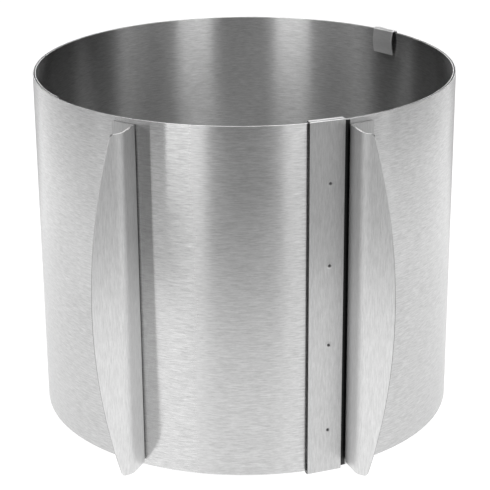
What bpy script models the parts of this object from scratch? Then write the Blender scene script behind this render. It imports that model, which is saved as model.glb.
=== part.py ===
"""Adjustable cake ring: a coiled steel strip with two handles, a guide plate and a rim clip.

Metres, +Z up, with the handles at the front, towards -Y. The one long strip is divided into
stiff links that turn on upright axes at their joins, so that the ring can open and close.
Angles on the ring are measured from the front, and grow to the right, seen from the front.
"""

import bmesh
import bpy
from math import cos, pi, radians, sin, sqrt, tan
from mathutils import Matrix, Vector

# Strip
ring_diameter = 0.1818  # over the outer face, at the strip's outer end
strip_length = 1.014
strip_height = 0.150
strip_thickness = 0.0004
layer_gap = 0.0005
link_gap = 0.0003
outer_links = 19
inner_links = 21
link_facets = 6

# Guide plate, welded to the strip's outer end
plate_width = 0.0149
plate_sheet = 0.0006
plate_clearance = 0.0003
plate_overhang = 0.001  # past the strip's outer end
plate_bend_radius = 0.0006
lip_clearance = 0.0003
lip_overhang = 0.0006  # past the innermost layer
weld_diameter = 0.0016
weld_depth = 0.00025
weld_offset = 0.0014  # from the plate's middle
weld_facets = 8
weld_height_shares = (0.123, 0.377, 0.606, 0.835)
weld_floor_share = 0.5

# Handles, a mirrored pair of folded sheets
handle_spread = 0.0866  # between the two folds, along the ring
handle_groove = 0.0024  # between the plate and the right handle
handle_sheet = 0.0008
handle_clearance = 0.0003
handle_inset = 0.002  # below the rim and above the foot
base_flange = 0.0105
flange_margin = 0.004
fold_radius = 0.0012
wall_height = 0.0125
wall_lean = radians(6)
flap_bend_radius = 0.006
flap_angle = radians(43)
flap_width = 0.014  # at half height
flap_end_width = 0.004
flap_corner = 0.0012

# Rim clip, pushed over the layers at the back
clip_angle = radians(133.2)
clip_width = 0.012
clip_sheet = 0.0005
clip_leg = 0.0105
clip_clearance = 0.0003
clip_pinch = 0.0006  # between the inner leg's tip and the strip
clip_standoff = 0.0011  # between the inner leg's top and the strip
clip_bulge = 0.0008
clip_crown = 0.0008

# Derived sizes
cutter_overrun = weld_depth
outer_radius = ring_diameter / 2
layer_pitch = strip_thickness + layer_gap
foot_z = plate_sheet + lip_clearance
rim_z = foot_z + strip_height
fold_angle = handle_spread / 2 / outer_radius
plate_angle = fold_angle - (handle_groove + plate_width / 2) / outer_radius
strip_start = fold_angle - (handle_groove + plate_width - plate_overhang) / outer_radius
seat_reach = (base_flange + flange_margin) / outer_radius
seat_margin = flange_margin / outer_radius

steel = {
    "strip": ((0.60, 0.60, 0.60), 0.28),
    "plate": ((0.52, 0.52, 0.52), 0.34),
    "handle": ((0.54, 0.54, 0.54), 0.36),
    "clip": ((0.58, 0.58, 0.58), 0.30),
}


def clear_scene():
    for old in list(bpy.data.objects):
        bpy.data.objects.remove(old, do_unlink=True)


def steel_material(name, kind):
    colour, roughness = steel[kind]
    material = bpy.data.materials.new(name)
    material.use_nodes = True
    shader = material.node_tree.nodes["Principled BSDF"]
    shader.inputs["Base Color"].default_value = (*colour, 1)
    shader.inputs["Roughness"].default_value = roughness
    shader.inputs["Metallic"].default_value = 1
    return material


def on_ring(radius, angle, z=0):
    return Vector((radius * sin(angle), -radius * cos(angle), z))


def add_object(name, bm, kind, pivot, parent):
    """Turn a bmesh in ring coordinates into an object whose origin is its pivot."""
    bmesh.ops.translate(bm, verts=bm.verts, vec=-pivot)
    mesh = bpy.data.meshes.new(name)
    bm.to_mesh(mesh)
    bm.free()
    mesh.shade_smooth()
    mesh.set_sharp_from_angle(angle=radians(35))
    part = bpy.data.objects.new(name, mesh)
    part.data.materials.append(steel_material(name, kind))
    bpy.context.collection.objects.link(part)
    part["pivot"] = pivot
    part.parent = parent
    part.location = pivot - Vector(parent["pivot"])
    return part


def add_sheet(name, kind, columns, rows, place, thickness, parent):
    """A bent sheet: a grid whose points the place function sets, given thickness by Solidify."""
    bm = bmesh.new()
    bmesh.ops.create_grid(bm, x_segments=columns - 1, y_segments=rows - 1, size=1)
    for vert in bm.verts:
        column = round((vert.co.x + 1) / 2 * (columns - 1))
        row = round((vert.co.y + 1) / 2 * (rows - 1))
        vert.co = place(column, row)
    sheet = add_object(name, bm, kind, Vector(parent["pivot"]), parent)
    solid = sheet.modifiers.new("sheet", "SOLIDIFY")
    solid.thickness = thickness
    solid.offset = 0
    solid.use_even_offset = True
    return sheet


# A path drawn on a plane by steps: straight runs, and turns of a given radius.


def run(path, length):
    point, heading = path[-1]
    path.append((point + length * Vector((cos(heading), sin(heading))), heading))


def bend(path, radius, angle, steps):
    """Turn by an angle, to the left where it is positive, on an arc of the given radius."""
    for _ in range(steps):
        point, heading = path[-1]
        middle = heading + angle / steps / 2
        chord = 2 * radius * sin(abs(angle) / steps / 2)
        step = chord * Vector((cos(middle), sin(middle)))
        path.append((point + step, heading + angle / steps))


# The strip spirals inwards from its outer end, one layer pitch to each turn.


def strip_radius(turned):
    """Radius of the strip's middle surface, after this angle from its outer end."""
    return outer_radius - strip_thickness / 2 - layer_pitch * turned / (2 * pi)


def strip_turns():
    """The whole angle that the strip's length takes."""
    start = outer_radius - strip_thickness / 2
    inward = layer_pitch / (2 * pi)
    return (start - sqrt(start * start - 2 * inward * strip_length)) / inward


def link_plan():
    """Names and limits of the links, from the strip's outer end to its inner end."""
    plate_seat = fold_angle + seat_reach - strip_start
    handle_seat = 2 * pi - fold_angle - seat_reach - strip_start
    front = 2 * pi - fold_angle + seat_margin - strip_start
    end = strip_turns()
    limits = [0]
    limits += [
        plate_seat + (handle_seat - plate_seat) * n / outer_links for n in range(outer_links)
    ]
    limits += [handle_seat]
    limits += [front + (end - front) * n / inner_links for n in range(inner_links + 1)]
    names = ["band_outer_end"]
    names += [f"band_outer_{n + 1:02d}" for n in range(outer_links)]
    names += ["band_handle_seat"]
    names += [f"band_inner_{n + 1:02d}" for n in range(inner_links)]
    return list(zip(names, limits[:-1], limits[1:]))


def add_link(name, low, high, pivot, parent):
    """An upright slice of the strip, spun through its share of the turn."""
    radius = strip_radius((low + high) / 2)
    total = strip_turns()
    gap = link_gap / 2 / radius
    first = low + (gap if low > 0 else 0)
    last = high - (gap if high < total else 0)
    bm = bmesh.new()
    corners = [
        bm.verts.new(on_ring(radius + side * strip_thickness / 2, strip_start + first, z))
        for side, z in ((-1, foot_z), (1, foot_z), (1, rim_z), (-1, rim_z))
    ]
    section = bm.faces.new(corners)
    bmesh.ops.spin(
        bm,
        geom=[section, *section.edges, *section.verts],
        cent=(0, 0, 0),
        axis=(0, 0, 1),
        dvec=(0, 0, 0),
        angle=last - first,
        steps=link_facets,
        use_merge=False,
        use_duplicate=False,
    )
    bmesh.ops.recalc_face_normals(bm, faces=bm.faces)
    return add_object(name, bm, "strip", pivot, parent)


def add_strip(frame):
    """All links, each hinged to its neighbour on the side of the left handle's link."""
    plan = link_plan()
    seat = outer_links + 1
    links = {}
    for index in [seat, *range(seat - 1, -1, -1), *range(seat + 1, len(plan))]:
        name, low, high = plan[index]
        if index == seat:
            links[name] = add_link(name, low, high, Vector(frame["pivot"]), frame)
            continue
        hinge = high if index < seat else low
        neighbour = plan[index + 1 if index < seat else index - 1][0]
        pivot = on_ring(strip_radius(hinge), strip_start + hinge)
        links[name] = add_link(name, low, high, pivot, links[neighbour])
    return links


def layers_at(angle, half_width):
    """Middle radii of the layers that pass a place on the ring, with the links' names."""
    found = []
    for name, low, high in link_plan():
        passes = (angle - strip_start) % (2 * pi)
        while passes < high + half_width:
            if passes > low - half_width:
                found.append((strip_radius((low + high) / 2), name))
            passes += 2 * pi
    return sorted(found, reverse=True)


def outer_face(radius):
    return radius + strip_thickness / 2


def inner_face(radius):
    return radius - strip_thickness / 2


# Guide plate


def plate_path(outer, inner):
    """The plate's section, from the bottom lip's edge round to the top lip's, as (radius, z)."""
    face = outer + plate_clearance + plate_sheet / 2
    reach = face - inner + lip_overhang - plate_bend_radius
    height = rim_z - foot_z + 2 * lip_clearance + plate_sheet - 2 * plate_bend_radius
    lip = face - plate_bend_radius - reach
    path = [(Vector((lip, plate_sheet / 2)), 0)]
    run(path, reach)
    bend(path, plate_bend_radius, pi / 2, 3)
    run(path, height)
    bend(path, plate_bend_radius, pi / 2, 3)
    run(path, reach)
    return [point for point, _ in path], face + plate_sheet / 2


def add_guide_plate(links):
    seat = links["band_outer_end"]
    layers = layers_at(plate_angle, plate_width / 2 / outer_radius)
    outer = outer_face(layers[0][0])
    path, front = plate_path(outer, inner_face(layers[-1][0]))
    turn = Matrix.Rotation(plate_angle, 3, "Z")

    def place(column, row):
        radius, z = path[column]
        across = (row - 0.5) * plate_width
        return turn @ Vector((across, -radius, z))

    plate = add_sheet(
        "guide_plate", "plate", len(path), 2, place, plate_sheet, seat
    )
    bm = bmesh.new()
    for share in weld_height_shares:
        depth = weld_depth + cutter_overrun
        middle = Vector((weld_offset, depth / 2 - cutter_overrun - front, 0))
        middle.z = foot_z + share * strip_height
        facing = Matrix.Rotation(plate_angle, 4, "Z") @ Matrix.Translation(middle)
        bmesh.ops.create_cone(
            bm,
            cap_ends=True,
            segments=weld_facets,
            radius1=weld_diameter / 2,
            radius2=weld_diameter / 2 * weld_floor_share,
            depth=depth,
            matrix=facing @ Matrix.Rotation(-pi / 2, 4, "X"),
        )
    cutter = add_object("weld_cutter", bm, "plate", Vector(seat["pivot"]), seat)
    cutter.hide_render = True
    cutter.display_type = "WIRE"
    welds = plate.modifiers.new("welds", "BOOLEAN")
    welds.object = cutter
    welds.solver = "EXACT"
    welds.operation = "DIFFERENCE"
    return plate


# Handles


def handle_path(seat_radius):
    """The handle's section up to the end of its outer bend: (sideways, outwards) and heading."""
    radius = outer_face(seat_radius) + handle_clearance + handle_sheet / 2
    fold_tangent = fold_radius * tan((pi / 2 - wall_lean) / 2)
    flap_tangent = flap_bend_radius * tan((wall_lean + flap_angle) / 2)
    far = base_flange / radius
    near = fold_tangent / radius
    path = [(Vector((radius * sin(far), radius * cos(far))), pi - far)]
    bend(path, radius, far - near, 4)
    bend(path, fold_radius, pi / 2 + wall_lean - path[-1][1], 4)
    run(path, wall_height - fold_tangent - flap_tangent)
    bend(path, flap_bend_radius, -(wall_lean + flap_angle), 6)
    return path, flap_tangent


def handle_rows():
    """(height, flap width) of each row, from foot to rim: a bowed edge with rounded corners."""
    half = strip_height / 2 - handle_inset
    bow = flap_width - flap_end_width
    bow_radius = (half * half + bow * bow) / (2 * bow)
    corner = [radians(30 * n) for n in range(4)]
    inner = half - flap_corner
    heights = [half - flap_corner * (1 - cos(turn)) for turn in corner]
    cuts = [flap_corner * (1 - sin(turn)) for turn in corner]
    spans = 8
    heights += [inner * (1 - n / spans) for n in range(1, spans + 1)]
    cuts += [0] * spans
    rows = []
    for height, cut in zip(heights, cuts):
        width = flap_width - bow_radius + sqrt(bow_radius**2 - height**2) - cut
        rows.append((height, width))
    middle = foot_z + strip_height / 2
    upper = [(middle + height, width) for height, width in rows]
    lower = [(middle - height, width) for height, width in rows[:-1]]
    return lower + upper[::-1]


def add_handle(name, side, link, seat_radius):
    """side is -1 for the left handle and 1 for the right one."""
    path, tangent = handle_path(seat_radius)
    rows = handle_rows()
    flap_steps = 3
    columns = len(path) + flap_steps
    along = Vector((cos(fold_angle), sin(fold_angle)))
    out = Vector((sin(fold_angle), -cos(fold_angle)))

    def place(column, row):
        z, width = rows[row]
        point, heading = path[min(column, len(path) - 1)]
        if column >= len(path):
            share = (column - len(path) + 1) / flap_steps
            reach = share * (width - tangent)
            point = point + reach * Vector((cos(heading), sin(heading)))
        flat = point.x * along + point.y * out
        return Vector((side * flat.x, flat.y, z))

    return add_sheet(name, "handle", columns, len(rows), place, handle_sheet, link)


# Rim clip


def clip_path(outer, inner):
    """The clip's section, from the outer leg's tip over the rim to the inner leg's tip."""
    outside = outer + clip_clearance + clip_sheet / 2
    inside = inner - clip_standoff - clip_sheet / 2
    tip = inner - clip_pinch - clip_sheet / 2
    middle = (outside + inside) / 2
    half = (outside - inside) / 2
    path = [(outside, rim_z - clip_leg * (1 - n / 2)) for n in range(2)]
    crown_steps = 8
    for n in range(crown_steps + 1):
        turn = pi * n / crown_steps
        path.append((middle + half * cos(turn), rim_z + clip_crown * sin(turn)))
    leg_steps = 8
    for n in range(1, leg_steps + 1):
        share = n / leg_steps
        radius = inside + (tip - inside) * share - clip_bulge * sin(pi * share)
        path.append((radius, rim_z - clip_leg * share))
    return path


def add_rim_clip(links):
    half = clip_width / 2 / outer_radius
    layers = layers_at(clip_angle, half)
    path = clip_path(outer_face(layers[0][0]), inner_face(layers[-1][0]))
    rows = 5

    def place(column, row):
        radius, z = path[column]
        angle = clip_angle + half * (2 * row / (rows - 1) - 1)
        return on_ring(radius, angle, z)

    holder = links[layers_at(clip_angle, 0)[0][1]]
    return add_sheet("rim_clip", "clip", len(path), rows, place, clip_sheet, holder)


def centre_on_origin(frame):
    """Move the frame so that the object's box stands on the origin, at its middle."""
    bpy.context.view_layer.update()
    graph = bpy.context.evaluated_depsgraph_get()
    corners = []
    for part in bpy.data.objects:
        if part.type != "MESH" or part.hide_render:
            continue
        body = part.evaluated_get(graph)
        corners += [body.matrix_world @ vert.co for vert in body.data.vertices]
    xs, ys, zs = ([corner[axis] for corner in corners] for axis in range(3))
    frame.location -= Vector(
        ((min(xs) + max(xs)) / 2, (min(ys) + max(ys)) / 2, min(zs))
    )
    bpy.context.view_layer.update()


def build():
    clear_scene()
    frame = bpy.data.objects.new("ring_frame", None)
    frame["pivot"] = Vector((0, 0, 0))
    bpy.context.collection.objects.link(frame)
    links = add_strip(frame)
    plan = {name: strip_radius((low + high) / 2) for name, low, high in link_plan()}
    add_guide_plate(links)
    add_handle("left_handle", -1, links["band_handle_seat"], plan["band_handle_seat"])
    add_handle("right_handle", 1, links["band_outer_end"], plan["band_outer_end"])
    add_rim_clip(links)
    centre_on_origin(frame)


build()
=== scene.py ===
"""Adjustable cake ring: the visible sheets of brushed steel, the studio and the camera.

Metres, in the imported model's frame. The ring's angles are measured from the front, and grow to
the right, seen from the front. The sizes are those of the CAD source.
"""

from math import atan2, cos, pi, radians, sin, sqrt, tan

import bmesh
import bpy
from mathutils import Matrix, Vector


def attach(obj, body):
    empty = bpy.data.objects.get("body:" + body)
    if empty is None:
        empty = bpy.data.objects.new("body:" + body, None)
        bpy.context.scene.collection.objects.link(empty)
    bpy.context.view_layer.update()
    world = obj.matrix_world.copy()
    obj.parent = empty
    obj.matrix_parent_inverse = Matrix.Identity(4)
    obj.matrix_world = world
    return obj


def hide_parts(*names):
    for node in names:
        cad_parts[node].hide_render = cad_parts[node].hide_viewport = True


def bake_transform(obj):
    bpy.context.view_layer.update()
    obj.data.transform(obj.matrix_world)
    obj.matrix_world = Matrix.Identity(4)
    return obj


# Strip
ring_centre = Vector((-0.000226669, 0.003810335, 0))
ring_diameter = 0.1818
strip_length = 1.014
strip_height = 0.150
strip_thickness = 0.0004
layer_gap = 0.0005
outer_links = 19
inner_links = 21
strip_edge_round = 0.00008

# Guide plate
plate_width = 0.0149
plate_sheet = 0.0006
plate_clearance = 0.0003
plate_overhang = 0.001
plate_bend_radius = 0.0006
lip_clearance = 0.0003
lip_overhang = 0.0006
weld_diameter = 0.0017
weld_depth = 0.00034
weld_collar = 0.00008
weld_offset = 0.0014
weld_height_shares = (0.123, 0.377, 0.606, 0.835)

# Handles
handle_spread = 0.0866
handle_groove = 0.0024
handle_sheet = 0.0008
handle_clearance = 0.0003
handle_inset = 0.002
base_flange = 0.0105
flange_margin = 0.004
fold_radius = 0.0012
wall_height = 0.0125
wall_lean = radians(6)
flap_bend_radius = 0.006
flap_angle = radians(43)
flap_width = 0.014
flap_end_width = 0.004
flap_corner = 0.0012

# Rim clip
clip_angle = radians(133.2)
clip_width = 0.012
clip_sheet = 0.0005
clip_leg = 0.0105
clip_clearance = 0.0003
clip_pinch = 0.0006
clip_standoff = 0.0011
clip_bulge = 0.0008
clip_crown = 0.0008

# Derived sizes
outer_radius = ring_diameter / 2
layer_pitch = strip_thickness + layer_gap
foot_z = plate_sheet + lip_clearance
rim_z = foot_z + strip_height
fold_angle = handle_spread / 2 / outer_radius
plate_angle = fold_angle - (handle_groove + plate_width / 2) / outer_radius
strip_start = fold_angle - (handle_groove + plate_width - plate_overhang) / outer_radius
seat_reach = (base_flange + flange_margin) / outer_radius
seat_margin = flange_margin / outer_radius

# Mesh: how finely the sheets are divided, and their rounded cut edges
facet_angle = radians(0.35)
edge_round = 0.00012
edge_segments = 2
edge_limit = radians(60)
strip_edge_limit = radians(50)
upright_limit = 0.3
lip_steps = 3
lip_bend_steps = 6
plate_row_step = 0.004
plate_column_step = 0.0011
weld_mesh = 0.00016
flange_steps = 12
fold_steps = 10
wall_steps = 3
flap_bend_steps = 18
flap_steps = 10
flap_spans = 24
corner_turns = [radians(turn) for turn in range(0, 91, 15)]
clip_outer_steps = 6
clip_crown_steps = 24
clip_inner_steps = 24
clip_columns = 16

# Steel: its plain tone, and its grains, the noise's scale on each axis, which is small along
# the scratches
plain_steel = (0.6, 0.6, 0.6, 1)
strip_grain = (260, 260, 2300)
upright_grain = (2200, 2200, 230)
edge_grain = (900, 900, 900)
coarse_share = 0.65
fine_share = 0.35
fine_scale = 3.7
scratch_height = 0.0001
roughness_share = 1 / 40
haze_share = 1 / 12

# Painted shade and wear: painted shade in the groove and on the handles' base flanges, the
# welds' burn with painted shade in their craters, the strip's rubbed stretch beside the left
# handle, and a painted highlight on the cut edges where they point up
groove_shade_margin = 0.0003
groove_shade_depth = 0.93
flange_shade_depth = 0.36
flange_shade_softness = 0.0008
weld_burn_and_shade = 0.00065
weld_burn_and_shade_end = 1.5
weld_burn_and_shade_depth = 0.8
rubbed_length = 0.026
rubbed_softness = 0.012
rubbed_polish = 0.130
edge_highlight_reach = 2.5
edge_highlight_lift = 12.0

# Camera, measured on the photograph: place from the ring's centre at the strip's foot, and
# pitch and roll in radians
camera_place = Vector((0, -0.7160, 0.3406))
camera_turn = radians(0.59)
camera_pitch = 0.3647
camera_roll = -0.0071
camera_near = 0.01
lens_pixels = 1713.3
image_pixels = 490
sensor_width = 36

# Table: where its glow changes, as distances from the ring's middle and as angles from the
# front, and how bright it is as a share of the white of the background. Inside the ring, and
# most along its inner wall, the glow is lowered as painted shadow of the wall.
table_size = 12
table_shaded_middle = (0.040, 0.080)
table_wall_shadow = (0.080, 0.0885)
table_near = (0.26, 0.36)
table_turns = (
    (radians(12), radians(28)),
    (radians(58), radians(76)),
    (radians(130), radians(150)),
)
table_glow = (
    # The first two glows are painted shadow: dimmer inside the ring, where its wall would shade
    # the table
    0.52,  # in the ring's middle
    0.09,  # along its inner wall
    1.28,  # near its outside
    0.38,  # far out in front
    0.71,  # at the wings
    1.53,  # at the sides
    0.87,  # at the back
)
table_seen_glow = 0.9
table_seen_tone = 0.3

# Lamps: azimuth, elevation, width and height in degrees, and glow as a share of that white
lamp_distance = 1.6
lamps = (
    ("strip_right_low", 31, 14, 20, 27, 0.90),
    ("strip_left_low", -29, 14, 20, 27, 1.32),
    ("strip_right_high", 31, 43, 20, 30, 1.80),
    ("strip_left_high", -29, 43, 20, 30, 1.52),
    ("wing_right", 57, 14, 32, 27, 0.32),
    ("wing_left", -55, 14, 33, 27, 0.40),
    ("side_right", 77, 18, 7, 35, 0.33),
    ("side_left", -77, 18, 7, 35, 0.20),
    ("top_right", 40, 68, 30, 24, 2.1),
    ("top_left", -40, 68, 30, 24, 2.0),
    ("high_right", 100, 58, 30, 30, 1.7),
    ("high_left", -100, 58, 30, 30, 1.6),
    ("rear", 180, 21, 26, 14, 2.6),
    ("overhead", 0, 88, 40, 40, 2.3),
)


def on_ring(radius, angle, z=0.0):
    return ring_centre + Vector((radius * sin(angle), -radius * cos(angle), z))


# Shader helpers and groups


def link(tree, source, target):
    tree.links.new(source, target)


def add_node(tree, kind, **settings):
    """Make a node. set_Some_Name=value is the value of its input Some Name."""
    node = tree.nodes.new(kind)
    for key, value in settings.items():
        if key.startswith("set_"):
            node.inputs[key[4:].replace("_", " ")].default_value = value
        else:
            setattr(node, key, value)
    return node


def new_group(name, inputs, outputs):
    group = bpy.data.node_groups.new(name, "ShaderNodeTree")
    for socket, kind, default in inputs:
        made = group.interface.new_socket(socket, in_out="INPUT", socket_type=kind)
        if default is not None:
            made.default_value = default
    for socket, kind in outputs:
        group.interface.new_socket(socket, in_out="OUTPUT", socket_type=kind)
    return group, group.nodes.new("NodeGroupInput"), group.nodes.new("NodeGroupOutput")


def math_node(tree, operation, first, second):
    node = add_node(tree, "ShaderNodeMath", operation=operation)
    for slot, value in enumerate((first, second)):
        if isinstance(value, (int, float)):
            node.inputs[slot].default_value = value
        else:
            link(tree, value, node.inputs[slot])
    return node.outputs[0]


def scaled_colour(tree, colour, factor):
    node = add_node(tree, "ShaderNodeVectorMath", operation="SCALE")
    link(tree, colour, node.inputs[0])
    link(tree, factor, node.inputs["Scale"])
    return node.outputs[0]


def brushed_grain_group():
    """Long fine scratches: a stretched noise that shifts the tone, roughness and height."""
    group, come, go = new_group(
        "brushed_grain",
        [
            ("Vector", "NodeSocketVector", None),
            ("Steel", "NodeSocketColor", plain_steel),
            ("Tone Depth", "NodeSocketFloat", 0.1),
            ("Roughness", "NodeSocketFloat", 0.3),
            ("Roughness Depth", "NodeSocketFloat", 0.05),
        ],
        [
            ("Colour", "NodeSocketColor"),
            ("Roughness", "NodeSocketFloat"),
            ("Height", "NodeSocketFloat"),
        ],
    )
    coarse = add_node(group, "ShaderNodeTexNoise", set_Scale=1.0, set_Detail=2.0)
    fine = add_node(group, "ShaderNodeTexNoise", set_Scale=fine_scale, set_Detail=1.0)
    link(group, come.outputs["Vector"], coarse.inputs["Vector"])
    link(group, come.outputs["Vector"], fine.inputs["Vector"])
    coarse_part = math_node(group, "MULTIPLY", coarse.outputs[0], coarse_share)
    fine_part = math_node(group, "MULTIPLY", fine.outputs[0], fine_share)
    both = math_node(group, "ADD", coarse_part, fine_part)
    swing = math_node(group, "SUBTRACT", both, 0.5)
    tone = math_node(group, "MULTIPLY", swing, come.outputs["Tone Depth"])
    tone = math_node(group, "ADD", tone, 1.0)
    rough = math_node(group, "MULTIPLY", swing, come.outputs["Roughness Depth"])
    rough = math_node(group, "ADD", rough, come.outputs["Roughness"])
    colour = scaled_colour(group, come.outputs["Steel"], tone)
    link(group, colour, go.inputs["Colour"])
    link(group, rough, go.inputs["Roughness"])
    link(group, both, go.inputs["Height"])
    return group


def handling_haze_group():
    """Faint cloudy patches where the sheet has been wiped and handled."""
    group, come, go = new_group(
        "handling_haze",
        [
            ("Vector", "NodeSocketVector", None),
            ("Colour", "NodeSocketColor", plain_steel),
            ("Roughness", "NodeSocketFloat", 0.3),
            ("Patch Scale", "NodeSocketFloat", 30.0),
            ("Depth", "NodeSocketFloat", 0.05),
        ],
        [("Colour", "NodeSocketColor"), ("Roughness", "NodeSocketFloat")],
    )
    cloud = add_node(group, "ShaderNodeTexNoise", set_Detail=3.0, set_Roughness=0.6)
    link(group, come.outputs["Vector"], cloud.inputs["Vector"])
    link(group, come.outputs["Patch Scale"], cloud.inputs["Scale"])
    swing = math_node(group, "SUBTRACT", cloud.outputs[0], 0.5)
    depth = math_node(group, "MULTIPLY", swing, come.outputs["Depth"])
    tone = math_node(group, "ADD", depth, 1.0)
    rough = math_node(group, "ADD", come.outputs["Roughness"], depth)
    colour = scaled_colour(group, come.outputs["Colour"], tone)
    link(group, colour, go.inputs["Colour"])
    link(group, rough, go.inputs["Roughness"])
    return group


def sheet_band_group():
    """An upright band between two distances along the sheet, darkened with painted shade or
    rubbed smooth.
    """
    group, come, go = new_group(
        "sheet_band",
        [
            ("Vector", "NodeSocketVector", None),
            ("Colour", "NodeSocketColor", plain_steel),
            ("Roughness", "NodeSocketFloat", 0.3),
            ("Low", "NodeSocketFloat", 0.0),
            ("High", "NodeSocketFloat", 0.001),
            ("Softness", "NodeSocketFloat", 0.0002),
            ("Shade", "NodeSocketFloat", 0.0),
            ("Polish", "NodeSocketFloat", 0.0),
        ],
        [("Colour", "NodeSocketColor"), ("Roughness", "NodeSocketFloat")],
    )

    def past(more, less):
        """0 up to an end of the band, rising to 1 over its softness."""
        reach = math_node(group, "SUBTRACT", more, less)
        reach = math_node(group, "DIVIDE", reach, come.outputs["Softness"])
        reach.node.use_clamp = True
        return reach

    axes = add_node(group, "ShaderNodeSeparateXYZ")
    link(group, come.outputs["Vector"], axes.inputs["Vector"])
    after_low = past(axes.outputs["X"], come.outputs["Low"])
    before_high = past(come.outputs["High"], axes.outputs["X"])
    inside = math_node(group, "MULTIPLY", after_low, before_high)
    shade = math_node(group, "MULTIPLY", inside, come.outputs["Shade"])
    tone = math_node(group, "SUBTRACT", 1.0, shade)
    polish = math_node(group, "MULTIPLY", inside, come.outputs["Polish"])
    rough = math_node(group, "SUBTRACT", come.outputs["Roughness"], polish)
    colour = scaled_colour(group, come.outputs["Colour"], tone)
    link(group, colour, go.inputs["Colour"])
    link(group, rough, go.inputs["Roughness"])
    return group


def weld_mark_group():
    """The dark burn in a spot weld's crater, with painted shade in its hollow."""
    group, come, go = new_group(
        "weld_mark",
        [
            ("Vector", "NodeSocketVector", None),
            ("Colour", "NodeSocketColor", plain_steel),
            ("Centre", "NodeSocketVector", None),
            ("Radius", "NodeSocketFloat", 0.001),
            ("Depth", "NodeSocketFloat", 0.8),
        ],
        [("Colour", "NodeSocketColor")],
    )
    away = add_node(group, "ShaderNodeVectorMath", operation="DISTANCE")
    link(group, come.outputs["Vector"], away.inputs[0])
    link(group, come.outputs["Centre"], away.inputs[1])
    reach = math_node(group, "DIVIDE", away.outputs["Value"], come.outputs["Radius"])
    inside = math_node(group, "SUBTRACT", weld_burn_and_shade_end, reach)
    inside.node.use_clamp = True
    shade = math_node(group, "MULTIPLY", inside, come.outputs["Depth"])
    tone = math_node(group, "SUBTRACT", 1.0, shade)
    colour = scaled_colour(group, come.outputs["Colour"], tone)
    link(group, colour, go.inputs["Colour"])
    return group


def painted_edge_highlight_group():
    """A painted highlight on a cut edge where it points up; elsewhere the edge keeps its dark
    tone.
    """
    group, come, go = new_group(
        "painted_edge_highlight",
        [
            ("Vector", "NodeSocketVector", None),
            ("Colour", "NodeSocketColor", (0.05, 0.05, 0.05, 1)),
            ("Reach", "NodeSocketFloat", 2.0),
            ("Lift", "NodeSocketFloat", 10.0),
        ],
        [("Colour", "NodeSocketColor")],
    )
    axes = add_node(group, "ShaderNodeSeparateXYZ")
    link(group, come.outputs["Vector"], axes.inputs["Vector"])
    upward = math_node(group, "MULTIPLY", axes.outputs["Z"], come.outputs["Reach"])
    upward.node.use_clamp = True
    lift = math_node(group, "MULTIPLY", upward, come.outputs["Lift"])
    tone = math_node(group, "ADD", lift, 1.0)
    colour = scaled_colour(group, come.outputs["Colour"], tone)
    link(group, colour, go.inputs["Colour"])
    return group


brushed_grain = brushed_grain_group()
handling_haze = handling_haze_group()
sheet_band = sheet_band_group()
weld_mark = weld_mark_group()
painted_edge_highlight = painted_edge_highlight_group()


def brushed_steel(name, tone, roughness, grain, depth, relief, spread=0.0, turn=0.0):
    """Metal whose scratches run along the small numbers of grain.

    depth is how much the scratches change the tone, and relief how much the height. spread is
    how far they pull a highlight across them, and turn says which way they run: 0 is across
    the path that the sheet is bent along, and a quarter is along it.
    """
    material = bpy.data.materials.new(name)
    material.use_nodes = True
    tree = material.node_tree
    shader = tree.nodes["Principled BSDF"]
    place = add_node(tree, "ShaderNodeTexCoord")
    mapping = add_node(tree, "ShaderNodeMapping", set_Scale=grain)
    link(tree, place.outputs["Object"], mapping.inputs["Vector"])
    scratches = add_node(tree, "ShaderNodeGroup")
    scratches.node_tree = brushed_grain
    scratches.inputs["Steel"].default_value = (tone, tone, tone, 1)
    scratches.inputs["Tone Depth"].default_value = depth
    scratches.inputs["Roughness"].default_value = roughness
    scratches.inputs["Roughness Depth"].default_value = depth * roughness_share
    link(tree, mapping.outputs["Vector"], scratches.inputs["Vector"])
    haze = add_node(tree, "ShaderNodeGroup")
    haze.node_tree = handling_haze
    haze.inputs["Depth"].default_value = depth * haze_share
    link(tree, place.outputs["Object"], haze.inputs["Vector"])
    link(tree, scratches.outputs["Colour"], haze.inputs["Colour"])
    link(tree, scratches.outputs["Roughness"], haze.inputs["Roughness"])
    bump = add_node(
        tree, "ShaderNodeBump", set_Strength=relief, set_Distance=scratch_height
    )
    link(tree, scratches.outputs["Height"], bump.inputs["Height"])
    link(tree, haze.outputs["Colour"], shader.inputs["Base Color"])
    link(tree, haze.outputs["Roughness"], shader.inputs["Roughness"])
    link(tree, bump.outputs["Normal"], shader.inputs["Normal"])
    shader.inputs["Metallic"].default_value = 1
    if spread:
        shader.inputs["Anisotropic"].default_value = spread
        shader.inputs["Anisotropic Rotation"].default_value = turn
        tangent = add_node(
            tree, "ShaderNodeTangent", direction_type="UV_MAP", uv_map="sheet"
        )
        link(tree, tangent.outputs[0], shader.inputs["Tangent"])
    return material


def overlay(material, group, vector, **values):
    """Put a group over the colour, and the roughness, that reach the material's shader."""
    tree = material.node_tree
    shader = tree.nodes["Principled BSDF"]
    node = add_node(tree, "ShaderNodeGroup")
    node.node_tree = group
    for key, value in values.items():
        node.inputs[key].default_value = value
    link(tree, vector, node.inputs["Vector"])
    for socket, goal in (("Colour", "Base Color"), ("Roughness", "Roughness")):
        if socket in node.outputs:
            link(tree, shader.inputs[goal].links[0].from_socket, node.inputs[socket])
            link(tree, node.outputs[socket], shader.inputs[goal])


def sheet_place(material):
    """Distance along the bent sheet, and height, from its UV map."""
    return add_node(material.node_tree, "ShaderNodeUVMap", uv_map="sheet").outputs["UV"]


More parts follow.
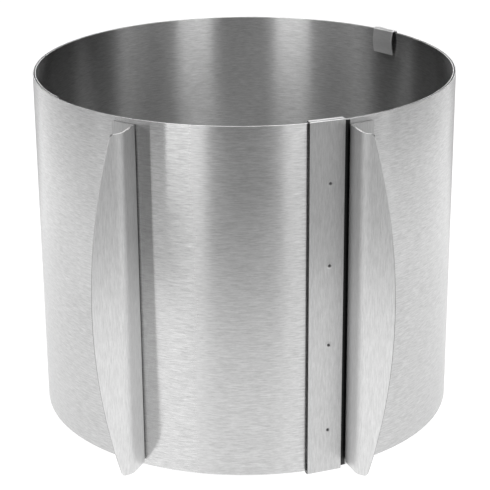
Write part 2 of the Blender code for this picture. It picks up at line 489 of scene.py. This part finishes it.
strip_finish = brushed_steel(
    "strip_brushed",
    tone=0.572,
    roughness=0.300,
    grain=strip_grain,
    depth=1.0,
    relief=0.05,
    spread=1.0,
    turn=0.25,
)
plate_finish = brushed_steel(
    "plate_brushed",
    tone=0.495,
    roughness=0.34,
    grain=upright_grain,
    depth=0.75,
    relief=0.2,
    spread=0.75,
    turn=0.25,
)
handle_finish = brushed_steel(
    "handle_brushed",
    tone=0.63,
    roughness=0.40,
    grain=upright_grain,
    depth=0.7,
    relief=0.2,
    spread=0.80,
)
clip_finish = brushed_steel(
    "clip_brushed", tone=0.92, roughness=0.42, grain=strip_grain, depth=0.30, relief=0.1
)
rim_edge = brushed_steel(
    "rim_edge", tone=0.80, roughness=0.30, grain=edge_grain, depth=0.25, relief=0.15
)
# The cut edges' near-black tone is partly the edges' own and partly painted shade of the gaps
# beside them
cut_edge_and_shade = brushed_steel(
    "cut_edge_and_shade", tone=0.055, roughness=0.40, grain=edge_grain, depth=0.35, relief=0.15
)

# Painted highlight: cut edges that point up are made up to 13 times lighter, as if lit from
# above
edge_facing = add_node(cut_edge_and_shade.node_tree, "ShaderNodeNewGeometry").outputs["Normal"]
overlay(cut_edge_and_shade, painted_edge_highlight, edge_facing, Reach=edge_highlight_reach, Lift=edge_highlight_lift)
# Painted shade: the strip is darkened in the groove between the guide plate and the right
# handle, where shade falls
overlay(
    strip_finish,
    sheet_band,
    sheet_place(strip_finish),
    Low=plate_width - plate_overhang - groove_shade_margin,
    High=plate_width - plate_overhang + handle_groove + groove_shade_margin,
    Softness=groove_shade_margin,
    Shade=groove_shade_depth,
)
fold_reach = outer_radius * (2 * pi - fold_angle - strip_start)
overlay(
    strip_finish,
    sheet_band,
    sheet_place(strip_finish),
    Low=fold_reach - rubbed_softness,
    High=fold_reach + rubbed_length,
    Softness=rubbed_softness,
    Polish=rubbed_polish,
)
# Painted shade: the handles' base flanges are darkened where the flaps over them shade them
overlay(
    handle_finish,
    sheet_band,
    sheet_place(handle_finish),
    Low=-flange_shade_softness,
    High=base_flange,
    Softness=flange_shade_softness,
    Shade=flange_shade_depth,
)


# Sheet metal


def make_piece(name, bm, finish, edge):
    mesh = bpy.data.meshes.new(name)
    bm.to_mesh(mesh)
    bm.free()
    mesh.materials.append(finish)
    mesh.materials.append(edge)
    piece = bpy.data.objects.new(name, mesh)
    bpy.context.scene.collection.objects.link(piece)
    return piece


def sheet_piece(name, rows, thickness, finish, edge):
    """A bent sheet through rows of points, with its thickness and its rounded cut edges."""
    columns = len(rows[0])
    bm = bmesh.new()
    bmesh.ops.create_grid(bm, x_segments=columns - 1, y_segments=len(rows) - 1, size=1)
    along = []
    for row in rows:
        reach = [0.0]
        for here, there in zip(row, row[1:]):
            reach.append(reach[-1] + (there - here).length)
        along.append(reach)
    across = [(row[0] - rows[0][0]).length for row in rows]
    corner_of = {}
    for vert in bm.verts:
        column = round((vert.co.x + 1) / 2 * (columns - 1))
        row = round((vert.co.y + 1) / 2 * (len(rows) - 1))
        corner_of[vert] = (row, column)
    for vert, (row, column) in corner_of.items():
        vert.co = rows[row][column]
    sheet_map = bm.loops.layers.uv.new("sheet")
    for face in bm.faces:
        face.smooth = True
        for loop in face.loops:
            row, column = corner_of[loop.vert]
            loop[sheet_map].uv = (along[row][column], across[row])
    piece = make_piece(name, bm, finish, edge)
    solid = piece.modifiers.new("thickness", "SOLIDIFY")
    solid.thickness = thickness
    solid.offset = 0
    solid.use_even_offset = True
    solid.material_offset_rim = 1
    rounding = piece.modifiers.new("edges", "BEVEL")
    rounding.width = edge_round
    rounding.segments = edge_segments
    rounding.limit_method = "ANGLE"
    rounding.angle_limit = edge_limit
    rounding.harden_normals = True
    return piece


def run(path, length, steps=1):
    """Go straight on. A path is a list of points, each with the heading there."""
    for _ in range(steps):
        point, heading = path[-1]
        step = length / steps * Vector((cos(heading), sin(heading)))
        path.append((point + step, heading))


def bend(path, radius, angle, steps):
    """Turn by an angle, to the left where it is positive, on an arc of the given radius."""
    for _ in range(steps):
        point, heading = path[-1]
        middle = heading + angle / steps / 2
        chord = 2 * radius * sin(abs(angle) / steps / 2)
        step = chord * Vector((cos(middle), sin(middle)))
        path.append((point + step, heading + angle / steps))


# Strip


def strip_radius(turned):
    """Radius of the strip's middle surface, after this angle from its outer end."""
    return outer_radius - strip_thickness / 2 - layer_pitch * turned / (2 * pi)


def strip_turns():
    """The whole angle that the strip's length takes."""
    start = outer_radius - strip_thickness / 2
    inward = layer_pitch / (2 * pi)
    return (start - sqrt(start * start - 2 * inward * strip_length)) / inward


def link_plan():
    """Body, node and limits of each link, from the strip's outer end to its inner end."""
    plate_seat = fold_angle + seat_reach - strip_start
    handle_seat = 2 * pi - fold_angle - seat_reach - strip_start
    front = 2 * pi - fold_angle + seat_margin - strip_start
    end = strip_turns()
    outer_span = (handle_seat - plate_seat) / outer_links
    inner_span = (end - front) / inner_links
    limits = [0]
    limits += [plate_seat + outer_span * n for n in range(outer_links)]
    limits += [handle_seat]
    limits += [front + inner_span * n for n in range(inner_links + 1)]
    bodies = ["outer_end"]
    bodies += [f"outer_{n + 1:02d}" for n in range(outer_links)]
    bodies += ["handle_seat"]
    bodies += [f"inner_{n + 1:02d}" for n in range(inner_links)]
    return [
        (body, "band_" + body, low, high)
        for body, low, high in zip(bodies, limits[:-1], limits[1:])
    ]


def strip_slice(name, low, high):
    """The strip between two angles from its outer end: a section with rounded edges, spun."""
    radius = strip_radius(low)
    start = strip_start + low
    half = strip_thickness / 2
    bm = bmesh.new()
    corners = [
        bm.verts.new(on_ring(radius + side * half, start, z))
        for side, z in ((-1, foot_z), (1, foot_z), (1, rim_z), (-1, rim_z))
    ]
    bm.faces.new(corners)
    bmesh.ops.bevel(
        bm,
        geom=bm.verts[:],
        offset=strip_edge_round,
        segments=edge_segments,
        profile=0.5,
        affect="VERTICES",
        material=-1,
    )
    bmesh.ops.spin(
        bm,
        geom=[*bm.faces, *bm.edges, *bm.verts],
        cent=ring_centre,
        axis=(0, 0, 1),
        dvec=(0, 0, 0),
        angle=high - low,
        steps=max(2, round((high - low) / facet_angle)),
        use_merge=False,
        use_duplicate=False,
    )
    middle = start + (high - low) / 2
    turned = {}
    for vert in bm.verts:
        place = vert.co - ring_centre
        angle = atan2(place.x, -place.y)
        angle += 2 * pi * round((middle - angle) / (2 * pi))
        turned[vert] = angle - strip_start
        inward = strip_radius(turned[vert]) - radius
        vert.co += inward * Vector((sin(angle), -cos(angle), 0))
    bmesh.ops.recalc_face_normals(bm, faces=bm.faces)
    sheet_map = bm.loops.layers.uv.new("sheet")
    for face in bm.faces:
        face.smooth = True
        upright = abs(face.normal.z) < upright_limit and len(face.verts) == 4
        face.material_index = 0 if upright else 1
        for loop in face.loops:
            place = loop.vert.co - ring_centre
            depth = place.xy.length - strip_radius(turned[loop.vert])
            loop[sheet_map].uv = (outer_radius * turned[loop.vert], place.z + depth)
    piece = make_piece(name, bm, strip_finish, rim_edge)
    piece.data.set_sharp_from_angle(angle=strip_edge_limit)
    return piece


def add_strip():
    """One slice over each hinge, which stays where it is built, and a slice at each end that
    moves with its link.
    """
    plan = link_plan()
    middles = [(low + high) / 2 for _, _, low, high in plan]

    first = strip_slice("strip_outer_tip", 0, middles[0])
    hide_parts(plan[0][1])
    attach(first, plan[0][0])
    last = strip_slice("strip_inner_tip", middles[-1], strip_turns())
    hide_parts(plan[-1][1])
    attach(last, plan[-1][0])
    for n in range(len(plan) - 1):
        body, node, _, hinge = plan[n]
        next_body, next_node, _, _ = plan[n + 1]
        piece = strip_slice(f"strip_bend_{n + 1:02d}", middles[n], middles[n + 1])
        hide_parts(node, next_node)
        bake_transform(piece)


def layers_at(angle, half_width):
    """Middle radii of the layers that pass a place on the ring, the outermost first."""
    found = []
    for _, _, low, high in link_plan():
        passes = (angle - strip_start) % (2 * pi)
        while passes < high + half_width:
            if passes > low - half_width:
                found.append(strip_radius((low + high) / 2))
            passes += 2 * pi
    return sorted(found, reverse=True)


def seat_radius(body):
    """Middle radius of a body's link."""
    low, high = next((low, high) for name, _, low, high in link_plan() if name == body)
    return strip_radius((low + high) / 2)


# Guide plate


def spaced(low, high, coarse, marks, reach, fine):
    """Numbers from low to high, close together within reach of each mark."""
    numbers = [low]
    while numbers[-1] < high:
        here = numbers[-1]
        near = any(abs(here + fine / 2 - mark) < reach for mark in marks)
        step = fine if near else coarse
        if not near:
            ahead = [mark - reach - here for mark in marks if mark - reach > here]
            step = min([coarse, *[gap for gap in ahead if gap > fine / 2]])
        numbers.append(here + step)
    numbers[-1] = high
    return numbers


def pressed(radius, face, side, z, welds):
    """The plate's radius at a place on its face: a crater with a collar at each weld."""
    if radius < face - plate_sheet / 2:
        return radius
    away = min(sqrt((side - weld_offset) ** 2 + (z - weld) ** 2) for weld in welds)
    away /= weld_diameter / 2
    if away < 1:
        return radius - weld_depth * (1 - away * away) ** 2 + weld_collar * away**4
    if away < 2:
        return radius + weld_collar * (2 - away) ** 2
    return radius


def add_guide_plate():
    half = plate_width / 2
    half_sheet = plate_sheet / 2
    layers = layers_at(plate_angle, half / outer_radius)
    face = layers[0] + strip_thickness / 2 + plate_clearance + half_sheet
    inner = layers[-1] - strip_thickness / 2
    reach = face - inner + lip_overhang - plate_bend_radius
    low = half_sheet + plate_bend_radius
    high = rim_z + lip_clearance + half_sheet - plate_bend_radius
    welds = [foot_z + share * strip_height for share in weld_height_shares]
    heights = spaced(low, high, plate_row_step, welds, weld_diameter, weld_mesh)
    path = [(Vector((face - plate_bend_radius - reach, half_sheet)), 0)]
    run(path, reach, lip_steps)
    bend(path, plate_bend_radius, pi / 2, lip_bend_steps)
    for here, there in zip(heights, heights[1:]):
        run(path, there - here)
    bend(path, plate_bend_radius, pi / 2, lip_bend_steps)
    run(path, reach, lip_steps)
    across = spaced(
        -half, half, plate_column_step, [weld_offset], weld_diameter, weld_mesh
    )
    turn = Matrix.Rotation(plate_angle, 3, "Z")
    rows = []
    for side in across:
        row = []
        for (radius, z), _ in path:
            out = pressed(radius, face, side, z, welds)
            row.append(ring_centre + turn @ Vector((side, -out, z)))
        rows.append(row)
    place = add_node(plate_finish.node_tree, "ShaderNodeTexCoord").outputs["Object"]
    # Each weld's crater gets a dark disc: partly the weld's burn, partly painted shade in the
    # hollow
    for weld in welds:
        centre = Vector((weld_offset, weld_depth / 2 - face - half_sheet, weld))
        overlay(
            plate_finish,
            weld_mark,
            place,
            Centre=ring_centre + turn @ centre,
            Radius=weld_burn_and_shade,
            Depth=weld_burn_and_shade_depth,
        )
    plate = sheet_piece(
        "guide_plate_sheet", rows, plate_sheet, plate_finish, cut_edge_and_shade
    )
    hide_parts("guide_plate")
    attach(plate, "outer_end")


# Handles


def handle_path(radius):
    """The handle's section up to the end of its outer bend: (sideways, outwards), heading."""
    radius += strip_thickness / 2 + handle_clearance + handle_sheet / 2
    fold_tangent = fold_radius * tan((pi / 2 - wall_lean) / 2)
    flap_tangent = flap_bend_radius * tan((wall_lean + flap_angle) / 2)
    far = base_flange / radius
    near = fold_tangent / radius
    path = [(Vector((radius * sin(far), radius * cos(far))), pi - far)]
    bend(path, radius, far - near, flange_steps)
    bend(path, fold_radius, pi / 2 + wall_lean - path[-1][1], fold_steps)
    run(path, wall_height - fold_tangent - flap_tangent, wall_steps)
    bend(path, flap_bend_radius, -(wall_lean + flap_angle), flap_bend_steps)
    return path, flap_tangent


def handle_rows():
    """Height and flap width of each row, from foot to rim: a bow with rounded corners."""
    half = strip_height / 2 - handle_inset
    bow = flap_width - flap_end_width
    bow_radius = (half * half + bow * bow) / (2 * bow)
    inner = half - flap_corner
    heights = [half - flap_corner * (1 - cos(turn)) for turn in corner_turns]
    cuts = [flap_corner * (1 - sin(turn)) for turn in corner_turns]
    heights += [inner * (1 - n / flap_spans) for n in range(1, flap_spans + 1)]
    cuts += [0] * flap_spans
    rows = []
    for height, cut in zip(heights, cuts):
        width = flap_width - bow_radius + sqrt(bow_radius**2 - height**2) - cut
        rows.append((height, width))
    middle = foot_z + strip_height / 2
    upper = [(middle + height, width) for height, width in rows]
    lower = [(middle - height, width) for height, width in rows[:-1]]
    return lower + upper[::-1]


def add_handle(name, node, side, body):
    """side is -1 for the left handle and 1 for the right one."""
    path, tangent = handle_path(seat_radius(body))
    along = Vector((cos(fold_angle), sin(fold_angle)))
    out = Vector((sin(fold_angle), -cos(fold_angle)))
    rows = []
    for z, width in handle_rows():
        flat = [point for point, _ in path]
        point, heading = path[-1]
        straight = Vector((cos(heading), sin(heading)))
        for n in range(1, flap_steps + 1):
            flat.append(point + n / flap_steps * (width - tangent) * straight)
        places = [at.x * along + at.y * out for at in flat]
        rows.append([ring_centre + Vector((side * at.x, at.y, z)) for at in places])
    handle = sheet_piece(name, rows, handle_sheet, handle_finish, cut_edge_and_shade)
    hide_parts(node)
    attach(handle, body)


# Rim clip


def clip_path(outer, inner):
    """The clip's section, from the outer leg's tip over the rim to the inner leg's tip."""
    outside = outer + clip_clearance + clip_sheet / 2
    inside = inner - clip_standoff - clip_sheet / 2
    tip = inner - clip_pinch - clip_sheet / 2
    middle = (outside + inside) / 2
    half = (outside - inside) / 2
    path = []
    for n in range(clip_outer_steps):
        path.append((outside, rim_z - clip_leg * (1 - n / clip_outer_steps)))
    for n in range(clip_crown_steps + 1):
        turn = pi * n / clip_crown_steps
        path.append((middle + half * cos(turn), rim_z + clip_crown * sin(turn)))
    for n in range(1, clip_inner_steps + 1):
        share = n / clip_inner_steps
        radius = inside + (tip - inside) * share - clip_bulge * sin(pi * share)
        path.append((radius, rim_z - clip_leg * share))
    return path


def add_rim_clip():
    half = clip_width / 2 / outer_radius
    layers = layers_at(clip_angle, half)
    outer = layers[0] + strip_thickness / 2
    inner = layers[-1] - strip_thickness / 2
    path = clip_path(outer, inner)
    rows = []
    for n in range(clip_columns + 1):
        angle = clip_angle + half * (2 * n / clip_columns - 1)
        rows.append([on_ring(radius, angle, z) for radius, z in path])
    clip = sheet_piece(
        "rim_clip_sheet", rows, clip_sheet, clip_finish, clip_finish
    )
    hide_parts("rim_clip")
    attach(clip, "clip")


# Studio


def smooth_step(tree, value, low, high):
    node = add_node(
        tree,
        "ShaderNodeMapRange",
        interpolation_type="SMOOTHSTEP",
        set_From_Min=low,
        set_From_Max=high,
    )
    link(tree, value, node.inputs["Value"])
    return node.outputs["Result"]


def table_material():
    """The table: the camera sees it evenly white, and the steel sees it by table_glow, which is
    lowered inside the ring as painted shadow of its wall.
    """
    material = bpy.data.materials.new("white_table")
    material.use_nodes = True
    tree = material.node_tree
    shader = tree.nodes["Principled BSDF"]
    place = add_node(tree, "ShaderNodeTexCoord")
    centred = add_node(tree, "ShaderNodeMapping", vector_type="TEXTURE")
    centred.inputs["Location"].default_value = ring_centre
    link(tree, place.outputs["Object"], centred.inputs["Vector"])
    axes = add_node(tree, "ShaderNodeSeparateXYZ")
    link(tree, centred.outputs["Vector"], axes.inputs["Vector"])
    away = add_node(tree, "ShaderNodeVectorMath", operation="LENGTH")
    link(tree, centred.outputs["Vector"], away.inputs[0])
    ahead = math_node(tree, "MULTIPLY", axes.outputs["Y"], -1.0)
    angle = math_node(tree, "ARCTAN2", axes.outputs["X"], ahead)
    angle = math_node(tree, "ABSOLUTE", angle, 0.0)
    middle, inside, near, front, wing, side, back = table_glow
    close = middle
    for reach, rise in ((table_shaded_middle, inside - middle), (table_wall_shadow, near - inside)):
        passed = smooth_step(tree, away.outputs["Value"], *reach)
        close = math_node(tree, "ADD", close, math_node(tree, "MULTIPLY", passed, rise))
    outer = front
    for turn, rise in zip(table_turns, (wing - front, side - wing, back - side)):
        passed = smooth_step(tree, angle, *turn)
        outer = math_node(tree, "ADD", outer, math_node(tree, "MULTIPLY", passed, rise))
    far = smooth_step(tree, away.outputs["Value"], *table_near)
    level = math_node(tree, "MULTIPLY", far, math_node(tree, "SUBTRACT", outer, close))
    level = math_node(tree, "ADD", level, close)
    seen = add_node(tree, "ShaderNodeLightPath").outputs["Is Camera Ray"]
    unseen = math_node(tree, "SUBTRACT", 1.0, seen)
    level = math_node(tree, "MULTIPLY", level, unseen)
    seen_level = math_node(tree, "MULTIPLY", seen, table_seen_glow)
    level = math_node(tree, "ADD", level, seen_level)
    tone = math_node(tree, "MULTIPLY", seen, table_seen_tone)
    link(tree, level, shader.inputs["Emission Strength"])
    link(tree, tone, shader.inputs["Base Color"])
    shader.inputs["Emission Color"].default_value = (1, 1, 1, 1)
    shader.inputs["Roughness"].default_value = 1
    shader.inputs["Specular IOR Level"].default_value = 0
    return material


def add_floor():
    bm = bmesh.new()
    bmesh.ops.create_grid(bm, x_segments=1, y_segments=1, size=table_size / 2)
    mesh = bpy.data.meshes.new("studio_floor")
    bm.to_mesh(mesh)
    bm.free()
    mesh.materials.append(table_material())
    plane = bpy.data.objects.new("studio_floor", mesh)
    bpy.context.scene.collection.objects.link(plane)


def add_lamp(name, azimuth, elevation, width, height, glow):
    """A soft lamp that faces the ring; azimuth 0 is the camera's side."""
    aim = ring_centre + Vector((0, 0, rim_z / 2))
    turn, rise = radians(azimuth), radians(elevation)
    way = Vector((sin(turn) * cos(rise), -cos(turn) * cos(rise), sin(rise)))
    data = bpy.data.lights.new(name, "AREA")
    data.shape = "RECTANGLE"
    data.size = 2 * lamp_distance * tan(radians(width / 2))
    data.size_y = 2 * lamp_distance * tan(radians(height / 2))
    data.energy = glow * pi * data.size * data.size_y
    lamp = bpy.data.objects.new(name, data)
    lamp.location = aim + lamp_distance * way
    lamp.rotation_euler = way.to_track_quat("Z", "Y").to_euler()
    lamp.visible_camera = False
    bpy.context.scene.collection.objects.link(lamp)


def add_studio():
    """The table, the lamps, and a white background that only the camera sees."""
    add_floor()
    for lamp in lamps:
        add_lamp(*lamp)
    world = bpy.data.worlds.new("studio_air")
    world.use_nodes = True
    tree = world.node_tree
    seen = add_node(tree, "ShaderNodeLightPath").outputs["Is Camera Ray"]
    background = tree.nodes["Background"]
    background.inputs["Color"].default_value = (1, 1, 1, 1)
    link(tree, seen, background.inputs["Strength"])
    bpy.context.scene.world = world
    bpy.context.scene.view_settings.view_transform = "Standard"


def add_camera():
    data = bpy.data.cameras.new("photo_camera")
    data.sensor_width = sensor_width
    data.lens = lens_pixels / image_pixels * sensor_width
    data.clip_start = camera_near
    camera = bpy.data.objects.new("photo_camera", data)
    centre = Matrix.Translation(ring_centre + Vector((0, 0, foot_z)))
    turn = Matrix.Rotation(camera_turn, 4, "Z")
    tilt = Matrix.Rotation(pi / 2 - camera_pitch, 4, "X")
    roll = Matrix.Rotation(camera_roll, 4, "Z")
    camera.matrix_world = centre @ turn @ Matrix.Translation(camera_place) @ tilt @ roll
    bpy.context.scene.collection.objects.link(camera)
    bpy.context.scene.camera = camera


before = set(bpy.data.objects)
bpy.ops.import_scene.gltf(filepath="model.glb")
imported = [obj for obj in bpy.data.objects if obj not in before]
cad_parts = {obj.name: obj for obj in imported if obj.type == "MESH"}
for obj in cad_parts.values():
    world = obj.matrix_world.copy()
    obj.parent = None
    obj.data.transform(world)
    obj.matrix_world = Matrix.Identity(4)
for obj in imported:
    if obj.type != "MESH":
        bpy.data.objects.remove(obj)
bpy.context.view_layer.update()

add_camera()
add_strip()
add_guide_plate()
add_handle("left_handle_sheet", "left_handle", -1, "handle_seat")
add_handle("right_handle_sheet", "right_handle", 1, "outer_end")
add_rim_clip()
add_studio()
